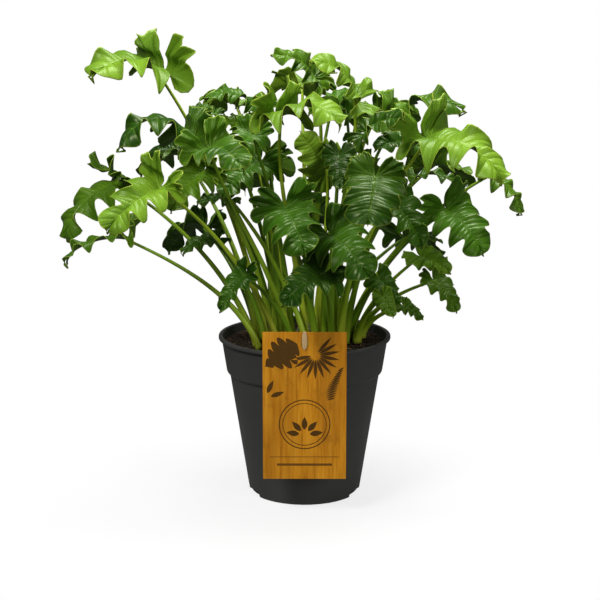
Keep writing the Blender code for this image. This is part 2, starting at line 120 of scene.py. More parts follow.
class Nodes:
    """A short way to lay out a material's nodes."""

    def __init__(self, name):
        self.material = bpy.data.materials.new(name)
        self.material.use_nodes = True
        self.tree = self.material.node_tree
        self.shader = self.tree.nodes["Principled BSDF"]

    def node(self, kind, **settings):
        made = self.tree.nodes.new("ShaderNode" + kind)
        for key, value in settings.items():
            setattr(made, key, value)
        return made

    def link(self, source, target):
        self.tree.links.new(source, target)

    def feed(self, socket, value):
        if isinstance(value, bpy.types.NodeSocket):
            self.link(value, socket)
        elif value is not None:
            socket.default_value = value

    def math(self, operation, a, b=None, c=None, clamp=False):
        made = self.node("Math", operation=operation, use_clamp=clamp)
        for socket, value in zip(made.inputs, (a, b, c)):
            self.feed(socket, value)
        return made.outputs[0]

    def vector(self, operation, a, b=None, scale=None):
        made = self.node("VectorMath", operation=operation)
        self.feed(made.inputs[0], a)
        self.feed(made.inputs[1], b)
        if scale is not None:
            self.feed(made.inputs["Scale"], scale)
        return made.outputs["Vector"]

    def mix(self, factor, a, b):
        made = self.node("Mix", data_type="RGBA", blend_type="MIX")
        self.feed(made.inputs[0], factor)
        self.feed(made.inputs[6], a if isinstance(a, bpy.types.NodeSocket) else (*a, 1))
        self.feed(made.inputs[7], b if isinstance(b, bpy.types.NodeSocket) else (*b, 1))
        return made.outputs[2]

    def ramp(self, factor, stops):
        made = self.node("ValToRGB")
        self.feed(made.inputs[0], factor)
        points = made.color_ramp.elements
        while len(points) < len(stops):
            points.new(0.5)
        for point, (place, colour) in zip(points, stops):
            point.position = place
            point.color = (*colour, 1) if isinstance(colour, tuple) else (colour, colour, colour, 1)
        return made.outputs[0]

    def noise(self, scale, detail=3, roughness=0.5, vector=None):
        made = self.node("TexNoise")
        self.feed(made.inputs["Vector"], vector if vector else self.place())
        made.inputs["Scale"].default_value = scale
        made.inputs["Detail"].default_value = detail
        made.inputs["Roughness"].default_value = roughness
        return made.outputs[0]

    def place(self):
        return self.node("TexCoord").outputs["Object"]

    def attribute(self, name, output="Vector"):
        return self.node("Attribute", attribute_name=name).outputs[output]

    def bump(self, height, strength, distance, under=None):
        made = self.node("Bump")
        made.inputs["Strength"].default_value = strength
        made.inputs["Distance"].default_value = distance
        self.feed(made.inputs["Height"], height)
        self.feed(made.inputs["Normal"], under)
        return made.outputs[0]

    def finish(self, colour, roughness, bump=None, **fixed):
        self.feed(self.shader.inputs["Base Color"], colour)
        self.feed(self.shader.inputs["Roughness"], roughness)
        self.feed(self.shader.inputs["Normal"], bump)
        for key, value in fixed.items():
            self.shader.inputs[key.replace("_", " ")].default_value = value
        return self.material


def line_mask(made, distance, width):
    """1 on a line's middle, falling to 0 at half its width."""
    return made.math("SUBTRACT", 1.0, made.math("DIVIDE", distance, width), clamp=True)


def blade_parts(made):
    """The blade's distances in millimetres to its margin, veins and fine veins, and its own tone."""
    facts = made.node("SeparateXYZ")
    made.link(made.attribute("facts"), facts.inputs[0])
    flat = made.node("SeparateXYZ")
    made.link(made.attribute("flat"), flat.inputs[0])
    return (*facts.outputs, flat.outputs[2])


def relief(made, vein, fine):
    """Cushions between the veins: 0 on a vein, 1 in the middle."""
    near = made.math("MINIMUM", vein, made.math("MULTIPLY_ADD", fine, 1.0, 0.35))
    share = made.math("DIVIDE", near, 2.6, clamp=True)
    return made.math("POWER", share, 0.6)


def blade_material(name, deep, fresh, edge, vein_colour, gloss):
    """The upper side: green that shifts over the blade, pale veins, and a yellowish margin that is partly the
    leaf's own pale edge and partly a painted highlight on the curled rim.
    """
    made = Nodes(name)
    margin, vein, fine, tone = blade_parts(made)
    mottle = made.noise(120, 4, 0.65)
    broad = made.noise(14, 2, 0.5)
    shift = made.math("ADD", made.math("MULTIPLY_ADD", broad, 2.4, -0.78), tone)
    shift = made.math("ADD", shift, made.math("MULTIPLY_ADD", mottle, 0.5, -0.25), clamp=True)
    colour = made.mix(shift, deep, fresh)
    cushions = relief(made, vein, fine)
    colour = made.mix(made.math("MULTIPLY_ADD", cushions, -0.3, 0.3), colour, fresh)
    width = made.math("MULTIPLY_ADD", margin, 0.015, 0.24)
    colour = made.mix(made.math("MULTIPLY", line_mask(made, vein, width), 0.26), colour, vein_colour)
    colour = made.mix(made.math("MULTIPLY", line_mask(made, fine, 0.20), 0.08), colour, vein_colour)
    # painted highlight: a pale yellowish rim along the margin, partly the leaf's own pale edge and partly the
    # light its curled rim catches
    colour = made.mix(made.math("MULTIPLY", line_mask(made, margin, 1.1), 0.85), colour, edge)
    colour = made.vector("SCALE", colour, scale=made.math("MULTIPLY_ADD", tone, 0.9, 1.0, clamp=True))
    bump = made.bump(cushions, 0.6, 0.0014)
    bump = made.bump(mottle, 0.10, 0.0004, bump)
    rough = made.math("MULTIPLY_ADD", mottle, 0.16, gloss)
    return made.finish(colour, rough, bump, Specular_IOR_Level=0.24, Specular_Tint=(0.9, 1.0, 0.55, 1))


def underside_material(name, colour, vein_colour):
    """The lower side: paler and less glossy, its veins standing out."""
    made = Nodes(name)
    margin, vein, fine, _ = blade_parts(made)
    shade = made.mix(made.noise(24, 3), colour, tuple(0.7 * value for value in colour))
    width = made.math("MULTIPLY_ADD", margin, 0.03, 0.35)
    lines = line_mask(made, vein, width)
    shade = made.mix(made.math("MULTIPLY", lines, 0.7), shade, vein_colour)
    shade = made.mix(made.math("MULTIPLY", line_mask(made, fine, 0.25), 0.3), shade, vein_colour)
    bump = made.bump(lines, 0.6, 0.0006)
    rough = made.math("MULTIPLY_ADD", made.noise(60), 0.15, 0.42)
    return made.finish(shade, rough, bump, Specular_IOR_Level=0.15)


def stalk_material(name, foot, middle, top):
    """Ribbed along its length, pale where it comes out of its sheath."""
    made = Nodes(name)
    flat = made.attribute("flat")
    parts = made.node("SeparateXYZ")
    made.link(flat, parts.inputs[0])
    along, around, _ = parts.outputs
    speckle = made.noise(90, 3, 0.6)
    place = made.math("ADD", along, made.math("MULTIPLY_ADD", speckle, 0.16, -0.08))
    colour = made.ramp(place, [(0.0, foot), (0.22, middle), (0.75, top), (1.0, top)])
    darker = tuple(0.6 * value for value in middle)
    colour = made.mix(made.math("MULTIPLY", made.noise(260, 2), 0.25), colour, darker)
    ribs = made.math("SINE", made.math("MULTIPLY", around, 2 * math.pi * 9))
    bump = made.bump(ribs, 0.18, 0.0004)
    return made.finish(colour, made.math("MULTIPLY_ADD", speckle, 0.15, 0.3), bump, Specular_IOR_Level=0.2)


# Of each leaf's upper side: deep and fresh green, margin (its own pale edge and a painted highlight), veins,
# and roughness
LEAF_LOOKS = {
    "leaf_young": (
        (0.045, 0.125, 0.006), (0.170, 0.315, 0.018), (0.36, 0.46, 0.05), (0.26, 0.40, 0.03), 0.29,
    ),
    "leaf_green": (
        (0.014, 0.060, 0.003), (0.100, 0.215, 0.009), (0.28, 0.39, 0.04), (0.16, 0.29, 0.02), 0.27,
    ),
    # painted shade: leaf_dark is a darker copy of the leaf greens, partly the leaves' own deeper green and
    # partly shade painted on leaves that sit in shade
    "leaf_dark": (
        (0.007, 0.034, 0.002), (0.052, 0.145, 0.006), (0.18, 0.28, 0.03), (0.10, 0.20, 0.015), 0.25,
    ),
}
# The lower side's green and its veins
UNDERSIDES = {
    "leaf_young": ((0.15, 0.27, 0.012), (0.27, 0.38, 0.05)),
    "leaf_green": ((0.08, 0.18, 0.010), (0.17, 0.28, 0.03)),
    # painted shade: the same darker copy for the lower side, partly its own colour and partly painted shade
    "leaf_dark": ((0.04, 0.10, 0.008), (0.10, 0.18, 0.025)),
}
# A stalk's colour at its foot, in its middle and at its top
STALK_LOOKS = {
    "leaf_young": ((0.55, 0.58, 0.07), (0.42, 0.53, 0.030), (0.30, 0.45, 0.020)),
    "leaf_green": ((0.42, 0.49, 0.040), (0.23, 0.37, 0.016), (0.19, 0.33, 0.014)),
    # painted shade: darker stalks for these leaves, partly their own colour and partly painted shade
    "leaf_dark": ((0.30, 0.39, 0.025), (0.13, 0.25, 0.010), (0.12, 0.24, 0.010)),
}


def pot_material():
    made = Nodes("anthracite_plastic")
    grain = made.noise(1400, 2, 0.5)
    cloud = made.noise(9, 3, 0.6)
    colour = made.mix(cloud, (0.046, 0.046, 0.044), (0.068, 0.068, 0.064))
    bump = made.bump(grain, 0.12, 0.0002)
    return made.finish(colour, made.math("MULTIPLY_ADD", cloud, 0.14, 0.36), bump, Specular_IOR_Level=0.22)


def soil_material(name, dark, light):
    made = Nodes(name)
    lumps = made.noise(420, 5, 0.7)
    colour = made.mix(made.ramp(lumps, [(0.35, 0.0), (0.75, 1.0)]), dark, light)
    bump = made.bump(lumps, 0.9, 0.0012)
    return made.finish(colour, 0.93, bump, Specular_IOR_Level=0.25)


def stem_material():
    made = Nodes("stem_bark")
    rings = made.node("TexWave", wave_type="BANDS", bands_direction="Z")
    made.link(made.place(), rings.inputs["Vector"])
    rings.inputs["Scale"].default_value = 90
    rings.inputs["Distortion"].default_value = 4
    colour = made.mix(rings.outputs["Fac"], (0.07, 0.07, 0.025), (0.20, 0.20, 0.08))
    return made.finish(colour, 0.8, made.bump(rings.outputs["Fac"], 0.6, 0.0006))


def card_material():
    """Printed to look like an oiled board: long grain, streaks and darker edges."""
    made = Nodes("card_wood_print")
    place = made.place()
    stretched = made.vector("MULTIPLY", place, (1.0, 1.0, 0.07))
    streaks = made.noise(330, 5, 0.65, stretched)
    bands = made.noise(62, 3, 0.5, made.vector("MULTIPLY", place, (1.0, 1.0, 0.16)))
    colour = made.ramp(streaks, [
        (0.30, (0.36, 0.13, 0.008)), (0.46, (0.62, 0.25, 0.012)), (0.62, (0.72, 0.32, 0.022)),
        (0.80, (0.78, 0.40, 0.05)),
    ])
    colour = made.mix(made.ramp(bands, [(0.36, 0.65), (0.60, 0.0)]), colour, (0.38, 0.14, 0.008))
    stains = made.noise(48, 4, 0.7)
    colour = made.mix(made.ramp(stains, [(0.56, 0.0), (0.74, 0.5)]), colour, (0.22, 0.08, 0.006))
    edge = made.attribute("edge", "Fac")
    colour = made.mix(made.math("MULTIPLY", made.math("POWER", edge, 5.0), 0.55), colour, (0.17, 0.06, 0.006))
    bump = made.bump(streaks, 0.05, 0.0002)
    return made.finish(colour, made.math("MULTIPLY_ADD", streaks, 0.1, 0.38), bump, Specular_IOR_Level=0.12)


def plain_material(name, first, second, scale, roughness, depth=0.0003):
    """Two near colours clouded together, with a fine bump."""
    made = Nodes(name)
    cloud = made.noise(scale, 4, 0.6)
    colour = made.mix(cloud, first, second)
    rough = made.math("MULTIPLY_ADD", cloud, 0.12, roughness)
    return made.finish(colour, rough, made.bump(cloud, 0.25, depth), Specular_IOR_Level=0.15)


# ---- Making pieces


def add(name, mesh, *materials):
    made = bpy.data.objects.new(name, mesh)
    bpy.context.scene.collection.objects.link(made)
    for material in materials:
        mesh.materials.append(material)
    return made


def belongs(piece, node=None):
    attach(piece, "root")
    if node:
        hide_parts(node)


def mesh_from(name, shape, smooth=True):
    mesh = bpy.data.meshes.new(name)
    shape.to_mesh(mesh)
    shape.free()
    if smooth:
        mesh.shade_smooth()
    return mesh


def box_piece(name, low, high, rounding=0):
    shape = bmesh.new()
    bmesh.ops.create_cube(shape, size=1)
    for vertex in shape.verts:
        vertex.co = [a + (b - a) * (part + 0.5) for a, b, part in zip(low, high, vertex.co)]
    if rounding:
        bmesh.ops.bevel(
            shape, geom=shape.edges, offset=rounding, segments=3, profile=0.5, affect="EDGES"
        )
    return add(name, mesh_from(name, shape, smooth=False))


def evaluated_mesh(thing):
    bpy.context.view_layer.update()
    return bpy.data.meshes.new_from_object(thing.evaluated_get(bpy.context.evaluated_depsgraph_get()))


# ---- Leaves: the same rows and bends as the model, drawn finely

# From the tip to the base: where a lobe leaves the midrib, its angle to it, its reach, and how deep
# the gap after it cuts. Places and reaches are shares of the blade's length.
Lobe = namedtuple("Lobe", "anchor angle reach cut")
TIP = 0.985
LOBES = (
    Lobe(0.70, 74, 0.26, 0.56),
    Lobe(0.42, 66, 0.38, 0.58),
    Lobe(0.15, 76, 0.46, 0.42),
    Lobe(0.00, 99, 0.51, 0.26),
    Lobe(0.00, 123, 0.53, 0.18),
    Lobe(0.00, 147, 0.50, 0.0),
)
BASE_ANGLE = 171  # degrees to the midrib, of the last ruling at the stalk

# A leaf's stalk end and tip in mm, on the pot's axes but with heights from the lip's top. Its upper
# side looks `face` degrees from straight up, towards -Y. `arch` is how far the midrib turns, and
# `lift` how far the lobes at the stalk stand up. `turn` is how many degrees more than most its
# stalk's foot is turned about the pot's axis, and `curl` how far a half bends from midrib to side.
Leaf = namedtuple("Leaf", "name end tip face arch lift width turn curl", defaults=(0, 60))
LEAVES = (
    Leaf("top_left", (-127, 30, 224), (-178, -28, 222), 15, 80, 105, 0.85, 0, 80),
    Leaf("top_middle", (8, 10, 222), (-29, -5, 241), 45, 90, 60, 0.80),
    Leaf("top_crest", (41, -20, 208), (3, -45, 238), 30, 80, 60, 0.85, 0, 80),
    Leaf("upper_fan", (-19, -45, 193), (31, -90, 190), 15, 85, 125, 0.90, 0, 80),
    Leaf("upper_blue", (36, 10, 188), (2, -20, 194), 30, 85, 90, 0.80, 0, 80),
    Leaf("right_arch", (79, 30, 182), (137, 10, 190), 15, 118, 105, 0.70, 0, 90),
    Leaf("right_bright", (103, -40, 174), (162, -80, 142), 22, 75, 85, 0.95, 0, 84),
    Leaf("front_heart", (56, -98, 150), (49, -126, 115), 60, 50, 35, 1.12, 0, 40),
    Leaf("right_far", (160, 20, 136), (187, 10, 102), 10, 75, 80, 0.75, 0, 80),
    Leaf("right_low", (122, -10, 111), (152, -32, 74), 45, 60, 70, 1.20, 0, 60),
    Leaf("left_front", (-117, -80, 139), (-158, -112, 107), 50, 60, 90, 0.85, 0, 60),
    Leaf("left_upper", (-99, -30, 175), (-151, -62, 165), 12, 140, 100, 0.80, 0, 100),
    Leaf("left_far", (-161, 0, 132), (-205, -22, 84), 12, 75, 110, 0.80, 0, 95),
    Leaf("left_edge", (-149, -40, 90), (-203, -52, 72), 5, 60, 60, 0.50, 0, 50),
    Leaf("middle_left", (-76, -78, 170), (-46, -124, 158), 40, 75, 70, 0.85, 0, 60),
    Leaf("left_inner", (-85, -32, 146), (-111, -60, 115), 45, 60, 80, 0.95, 48, 60),
    Leaf("dark_arch", (-44, 20, 193), (-86, 10, 200), 15, 120, 70, 0.85, 0, 90),
    Leaf("young_upright", (18, -52, 151), (-4, -72, 184), 85, 35, 10, 1.05, -24),
    Leaf("small_dark", (28, -74, 164), (28, -92, 138), 70, 40, 20, 0.90),
    Leaf("front_middle", (-14, -90, 124), (1, -122, 90), 55, 60, 65, 1.25),
    Leaf("front_low", (21, -76, 100), (53, -112, 69), 50, 65, 65, 1.05, -12),
    Leaf("right_small", (52, -48, 181), (80, -78, 194), 45, 60, 40, 0.90, -12),
    Leaf("right_hanging", (73, -62, 124), (96, -82, 89), 35, 60, 40, 0.90),
    Leaf("right_thin_arch", (99, 40, 132), (137, 30, 120), 10, 90, 40, 0.70),
    Leaf("right_shaded", (90, -10, 166), (57, -44, 165), 40, 60, 40, 0.80, 12),
    Leaf("left_behind", (-94, 54, 152), (-143, 64, 150), 25, 50, 40, 0.80),
    Leaf("middle_dark", (-40, -6, 150), (-70, -38, 123), 40, 60, 40, 0.90),
    Leaf("middle_shaded", (-44, -42, 177), (-60, -76, 158), 50, 60, 60, 0.90, 0),
    Leaf("upper_shaded", (-50, 30, 178), (-79, 8, 178), 40, 70, 40, 0.80, -12),
    Leaf("low_middle", (13, -86, 69), (-19, -114, 48), 45, 60, 40, 0.90),
    Leaf("low_right", (64, -16, 52), (80, -30, 30), 50, 50, 40, 0.90, 0),
    Leaf("low_left", (-50, -70, 65), (-70, -82, 36), 40, 55, 60, 0.65),
    Leaf("olive", (99, -20, 72), (124, -38, 61), 40, 50, 40, 0.90, -12),
    Leaf("low_far_right", (112, -10, 49), (130, -28, 24), 30, 70, 60, 0.80),
    Leaf("thin_left", (-67, -4, 118), (-92, -20, 117), 25, 50, 30, 0.70, -60),
    Leaf("thin_low_left", (-78, -6, 84), (-106, -20, 74), 25, 60, 30, 0.70),
    Leaf("curl", (-78, 30, 189), (-100, 22, 192), 30, 90, 40, 0.70, -48),
    Leaf("round_small", (66, -46, 42), (74, -60, 27), 50, 40, 20, 0.90),
    Leaf("lowest", (86, -20, 29), (101, -32, 19), 40, 40, 20, 0.80, 0),
    Leaf("upper_back", (23, 52, 188), (40, 80, 207), 0, 60, 40, 0.90),
    Leaf("back_left_high", (-62, 84, 192), (-92, 132, 178), -20, 80, 60, 1.00, -36),
    Leaf("back_high", (-2, 98, 207), (6, 156, 190), -20, 85, 60, 1.00, -36),
    Leaf("back_right_high", (66, 88, 184), (102, 130, 166), -20, 80, 60, 1.00, -12),
    Leaf("back_left", (-112, 96, 144), (-154, 126, 120), -15, 70, 60, 1.00),
    Leaf("back_right", (114, 68, 138), (152, 98, 114), -15, 70, 60, 1.00, 12),
    Leaf("back_middle_left", (-42, 112, 134), (-58, 160, 102), -30, 65, 60, 1.05),
    Leaf("back_middle_right", (48, 112, 124), (64, 158, 92), -30, 65, 60, 1.05),
    Leaf("back_low", (2, 92, 90), (4, 132, 58), -30, 60, 50, 0.95),
    Leaf("back_low_left", (-92, 70, 82), (-128, 96, 54), -20, 60, 60, 0.95, -12),
    Leaf("back_low_right", (92, 72, 74), (126, 100, 46), -20, 60, 60, 0.95),
)


# What sets some leaves apart: depth of the gaps, waves, the lobes' swell from the tip on, tone
TRAITS = {
    "front_heart": {
        "cut": 0.34, "wave": 1.1, "swell": (1.6, 1.35, 1.15, 1, 1, 1), "scallops": 0.03, "tone": -0.35,
    },
    "right_bright": {"cut": 1.1, "wave": 1.3, "tone": 0.25},
    "top_left": {"cut": 0.85, "wave": 1.2, "swell": (1, 1.1, 1.15, 1.1, 1.1, 1), "tone": 0.35},
    "upper_fan": {"cut": 0.7, "wave": 1.5, "tone": 0.2},
    "left_front": {"cut": 1.1, "tone": 0.1},
    "left_edge": {"cut": 0.6},
    "olive": {"cut": 0.35, "tone": 0.9},
    "round_small": {"cut": 0.25, "tone": 0.5},
    "small_dark": {"cut": 0.5, "tone": -0.3},
    "middle_left": {"cut": 0.6, "tone": 0.1},
    "young_upright": {"cut": 0.6, "tone": 0.8},
    "right_low": {"cut": 0.9, "tone": 0.45},
}


def build_all_leaves():
    looks = {}
    for slot in LEAF_LOOKS:
        deep, fresh, edge, vein, gloss = LEAF_LOOKS[slot]
        looks[slot] = (
            blade_material(slot + "_upper", deep, fresh, edge, vein, gloss),
            underside_material(slot + "_under", *UNDERSIDES[slot]),
            stalk_material(slot + "_stalk", *STALK_LOOKS[slot]),
        )
    for index, leaf in enumerate(LEAVES):
        build_leaf(index, leaf, looks[SLOTS["leaf_" + leaf.name]])


def half_margin(places, draw, traits, cut, roundness):
    """Anchor, angle and reach of one half's rulings, from 0 at the tip to 7 at the base."""
    swell = np.array(traits.get("swell", (1, 1, 1, 1, 1, 1)))
    anchors = np.array([TIP] + [lobe.anchor for lobe in LOBES] + [0])
    angles = np.array([0] + [lobe.angle + draw.uniform(-5, 5) for lobe in LOBES] + [BASE_ANGLE])
    lobes = [lobe.reach * draw.uniform(0.88, 1.06) for lobe in LOBES] * swell
    reaches = np.array([0.015, *lobes, 0.02])
    cuts = np.array([0] + [lobe.cut * draw.uniform(0.75, 1.15) * cut for lobe in LOBES])
    cell = np.minimum(places.astype(int), len(LOBES))
    part = places - cell
    anchor = np.interp(places, range(len(anchors)), anchors)
    angle = np.interp(places, range(len(angles)), angles)
    ease = part * part * (3 - 2 * part)
    reach = reaches[cell] + (reaches[cell + 1] - reaches[cell]) * ease
    reach = reach * (1 - cuts[cell] * np.sin(math.pi * part) ** roundness)
    tip = reaches[0] + (reaches[1] - reaches[0]) * np.sin(math.pi / 2 * part) ** 2.2
    base = reaches[-1] + (reaches[-2] - reaches[-1]) * np.cos(math.pi / 2 * part) ** 0.8
    reach = np.where(cell == 0, tip, np.where(cell == len(LOBES), base, reach))
    scallops = traits.get("scallops", 0.012) * np.sin(2 * math.pi * places * 3 + draw.uniform(0, 6.28))
    return anchor, np.radians(angle), reach * (1 + scallops)


def blade_coordinates(leaf, end, chord, seed):
    """The blade's points, its flat coordinates, and its distances to margin and veins."""
    draw = np.random.default_rng(seed)
    traits = TRAITS.get(leaf.name, {})
    small = chord.length < SMALL_BLADE
    cut = traits.get("cut", draw.uniform(0.35, 0.7) if small else draw.uniform(0.75, 1.1))
    wave = traits.get("wave", draw.uniform(0.8, 1.3))
    roundness = draw.uniform(2.6, 3.6)
    along = chord.normalized()
    face = math.radians(leaf.face)
    up = Vector((0, -math.sin(face), math.cos(face)))
    up = (up - along * up.dot(along)).normalized()
    side = np.array(up.cross(along))
    along, up = np.array(along), np.array(up)
    arch = math.radians(leaf.arch)
    bend = chord.length / (2 * math.sin(arch / 2))
    length = bend * arch

    places = np.linspace(0, len(LOBES) + 1, (len(LOBES) + 1) * COLUMNS_PER_LOBE + 1)
    rows = np.linspace(0, 1, BLADE_ROWS)[:, None] ** 0.8
    halves = []
    for sign in (-1, 1):
        anchor, angle, reach = half_margin(places, draw, traits, cut, roundness)
        x = anchor + rows * reach * np.cos(angle)
        y = rows * reach * np.sin(angle)
        height = half_waves(places, rows, x, draw, wave)
        across = np.stack([np.gradient(x, places, axis=1), np.gradient(y, places, axis=1)])
        spread = np.abs(across[0] * np.sin(angle) - across[1] * np.cos(angle))
        vein = np.minimum(np.abs(places - np.round(places)) * spread, np.where(x > 0, y, 1))
        fine = np.abs(4 * places - np.round(4 * places)) / 4 * spread
        margin = (1 - rows) * reach
        halves.append([x, sign * y, height, margin * length, vein * length, fine * length])
    halves[0] = [grid[:, :0:-1] for grid in halves[0]]
    x, y, height, margin, vein, fine = (np.hstack(pair) for pair in zip(*halves))

    ahead, aside = x * length, np.abs(y) * length * leaf.width
    front = ahead > 0
    lift = leaf.lift + np.where(y > 0, draw.uniform(-14, 14), draw.uniform(-14, 14))
    back = np.minimum(1, np.maximum(0, -x) / 0.2)
    slope = np.where(front, arch / 2 - ahead / bend, arch / 2 - np.radians(lift) * back)
    run = np.where(front, bend * (math.sin(arch / 2) - np.sin(slope)), np.cos(slope) * ahead)
    rise = np.where(front, bend * (np.cos(slope) - math.cos(arch / 2)), np.sin(slope) * ahead)
    fold = math.radians(FOLD) * np.where(y > 0, draw.uniform(0.6, 1.3), draw.uniform(0.6, 1.3))
    curl = np.radians(leaf.curl) * (1 - 0.75 * back) / (HALF_WIDTH * length)
    leaning = fold - curl * aside
    height = height * length + (np.cos(leaning) - np.cos(fold)) / curl
    lateral = np.sign(y) * (np.sin(fold) - np.sin(leaning)) / curl
    points = (
        np.array(end)
        + (run - np.sin(slope) * height)[..., None] * along
        + (rise + np.cos(slope) * height)[..., None] * up
        + lateral[..., None] * side
    )
    tone = np.full(x.shape, traits.get("tone", draw.uniform(-0.2, 0.2)))
    flat = np.stack([x * length, y * length, tone], axis=-1)
    distances = np.stack([margin, vein, fine], axis=-1) / MM
    return points, flat, distances


def half_waves(places, rows, x, draw, wave):
    """Height off the blade's smooth bend, as a share of its length: ruffles, cushions and a hooked tip."""
    phase = draw.uniform(-0.15, 0.15)
    strength = np.interp(places, (0, 1, 3, 7), (0.2, 1, 1, 0.5))
    ruffle = -0.055 * np.cos(2 * math.pi * (places + phase)) * strength
    twist = 0.034 * np.sin(2 * math.pi * places * 0.5 + draw.uniform(0, 6.28))
    frill = 0.015 * np.sin(2 * math.pi * places * 2 + draw.uniform(0, 6.28))
    cushion = 0.014 * np.abs(np.sin(math.pi * places)) * np.sin(math.pi * rows)
    hook = -2.5 * draw.uniform(-0.3, 1.0) * np.maximum(0, x - 0.78) ** 2
    return wave * (ruffle + twist + frill) * rows ** 2.2 + cushion + hook


def stalk_route(leaf, end, chord, count):
    """A bend from the stalk's foot over the soil up to the blade."""
    spread = math.hypot(end.x, end.y)
    drop = math.atan2(spread, end.z - SOIL_TOP + ROOT_DEPTH)
    inner, outer = STALK_RING
    ring = min(outer, inner + (outer - inner) * drop / math.radians(55))
    angle = math.atan2(end.y, end.x) + math.radians(STALK_TWIST + leaf.turn)
    foot = Vector((ring * math.cos(angle), ring * math.sin(angle), SOIL_TOP + CLEARANCE))
    start = foot + Vector((0, 0, STALK_FOOT_RADIUS))
    span = (end - start).length
    rising = (Vector((0, 0, 1)) + (end - start).normalized() * 0.8).normalized()
    arriving = ((end - start).normalized() + chord.normalized() * 0.35).normalized()
    return [foot] + interpolate_bezier(
        start, start + rising * span * 0.35, end - arriving * span * 0.3, end, count
    )


def stalk_shape(route, seed):
    """A ribbed tube on the route, broad and flat at its foot where it is a sheath."""
    draw = np.random.default_rng(seed + 500)
    centres = np.array([list(point) for point in route])
    ways = np.gradient(centres, axis=0)
    ways /= np.linalg.norm(ways, axis=1)[:, None]
    outward = centres[-1] - centres[0]
    outward[2] = 0
    outward /= np.linalg.norm(outward) + 1e-9
    count = len(route)
    t = np.linspace(0, 1, count)[:, None]
    radius = STALK_TOP_RADIUS + (STALK_FOOT_RADIUS - STALK_TOP_RADIUS) * (1 - t) ** 1.5
    across = np.cross(ways, outward)
    across /= np.linalg.norm(across, axis=1)[:, None] + 1e-9
    inward = np.cross(across, ways)
    around = np.linspace(0, 2 * math.pi, STALK_SIDES + 1)[None, :]
    groove = 1 - 0.22 * np.exp(-((around - math.pi) / 0.55) ** 2)
    sheath = 1 + draw.uniform(0.25, 0.6) * (1 - t) ** 5
    points = (
        centres[:, None, :]
        + (np.cos(around) * groove * radius)[..., None] * inward[:, None, :]
        + (np.sin(around) * sheath * radius)[..., None] * across[:, None, :]
    )
    return points, t, around / (2 * math.pi)


def grid_mesh(name, columns, rows):
    shape = bmesh.new()
    bmesh.ops.create_grid(shape, x_segments=columns - 1, y_segments=rows - 1, size=1)
    mesh = bpy.data.meshes.new(name)
    shape.to_mesh(mesh)
    shape.free()
    return mesh


def write_points(mesh, places):
    mesh.vertices.foreach_set("co", places.reshape(-1).astype(np.float32))
    mesh.update()


def write_attribute(mesh, name, values):
    layer = mesh.attributes.new(name, "FLOAT_VECTOR", "POINT")
    layer.data.foreach_set("vector", values.reshape(-1).astype(np.float32))


def build_leaf(seed, leaf, looks):
    end = Vector(leaf.end) * MM + Vector((0, 0, POT_HEIGHT))
    chord = (Vector(leaf.tip) - Vector(leaf.end)) * MM
    places, flat, distances = (grid[:, ::-1] for grid in blade_coordinates(leaf, end, chord, seed))
    name = "leaf_" + leaf.name
    mesh = grid_mesh(name + "_blade", places.shape[1], places.shape[0])
    write_points(mesh, places)
    write_attribute(mesh, "flat", flat)
    write_attribute(mesh, "facts", distances)
    blade = add(name + "_blade", mesh, *looks)
    weld = blade.modifiers.new("weld", "WELD")
    weld.merge_threshold = MERGE_DISTANCE
    solid = blade.modifiers.new("thickness", "SOLIDIFY")
    solid.thickness = BLADE_THICKNESS
    solid.offset = 0
    solid.material_offset = 1
    upper = evaluated_mesh(blade)
    bpy.data.objects.remove(blade)

    points, t, around = stalk_shape(stalk_route(leaf, end, chord, STALK_STEPS), seed)
    tube = grid_mesh(name + "_stalk", STALK_SIDES + 1, len(points))
    write_points(tube, points)
    grid_t, grid_around = np.broadcast_arrays(t, around)
    write_attribute(tube, "flat", np.stack([grid_t, grid_around, grid_t * 0], axis=-1))

    shape = bmesh.new()
    shape.from_mesh(tube)
    bmesh.ops.remove_doubles(shape, verts=shape.verts, dist=0.000001)
    bmesh.ops.holes_fill(shape, edges=shape.edges)
    bmesh.ops.recalc_face_normals(shape, faces=shape.faces)
    for polygon in shape.faces:
        polygon.material_index = 2
    shape.from_mesh(upper)
    piece = add(leaf.name + "_leaf", mesh_from(leaf.name + "_leaf", shape), *looks)
    belongs(piece, name)


# ---- Pot


def turned_piece(name, profile, steps, material):
    shape = bmesh.new()
    points = [shape.verts.new((radius, 0, height)) for radius, height in profile]
    for first, second in zip(points, points[1:]):
        shape.edges.new((first, second))
    piece = add(name, mesh_from(name, shape), material)
    screw = piece.modifiers.new("turn", "SCREW")
    screw.axis = "Z"
    screw.steps = steps
    screw.render_steps = steps
    screw.use_merge_vertices = True
    screw.merge_threshold = MERGE_DISTANCE
    return piece


def wall_radius(height):
    step = COLLAR_STEP if height > COLLAR_FOOT else 0
    return POT_FOOT_RADIUS + POT_TAPER * height + step


def rounded(corners):
    """The corners' (radius, height, rounding) with each corner replaced by a short arc."""
    points = []
    for index, (x, y, size) in enumerate(corners):
        if not size:
            points.append((x, y))
            continue
        here = Vector((x, y))
        before = Vector(corners[index - 1][:2])
        after = Vector(corners[index + 1][:2])
        start = here + (before - here).normalized() * size
        stop = here + (after - here).normalized() * size
        for step in range(6):
            t = step / 5
            point = start * (1 - t) ** 2 + here * 2 * t * (1 - t) + stop * t ** 2
            points.append((point.x, point.y))
    return points


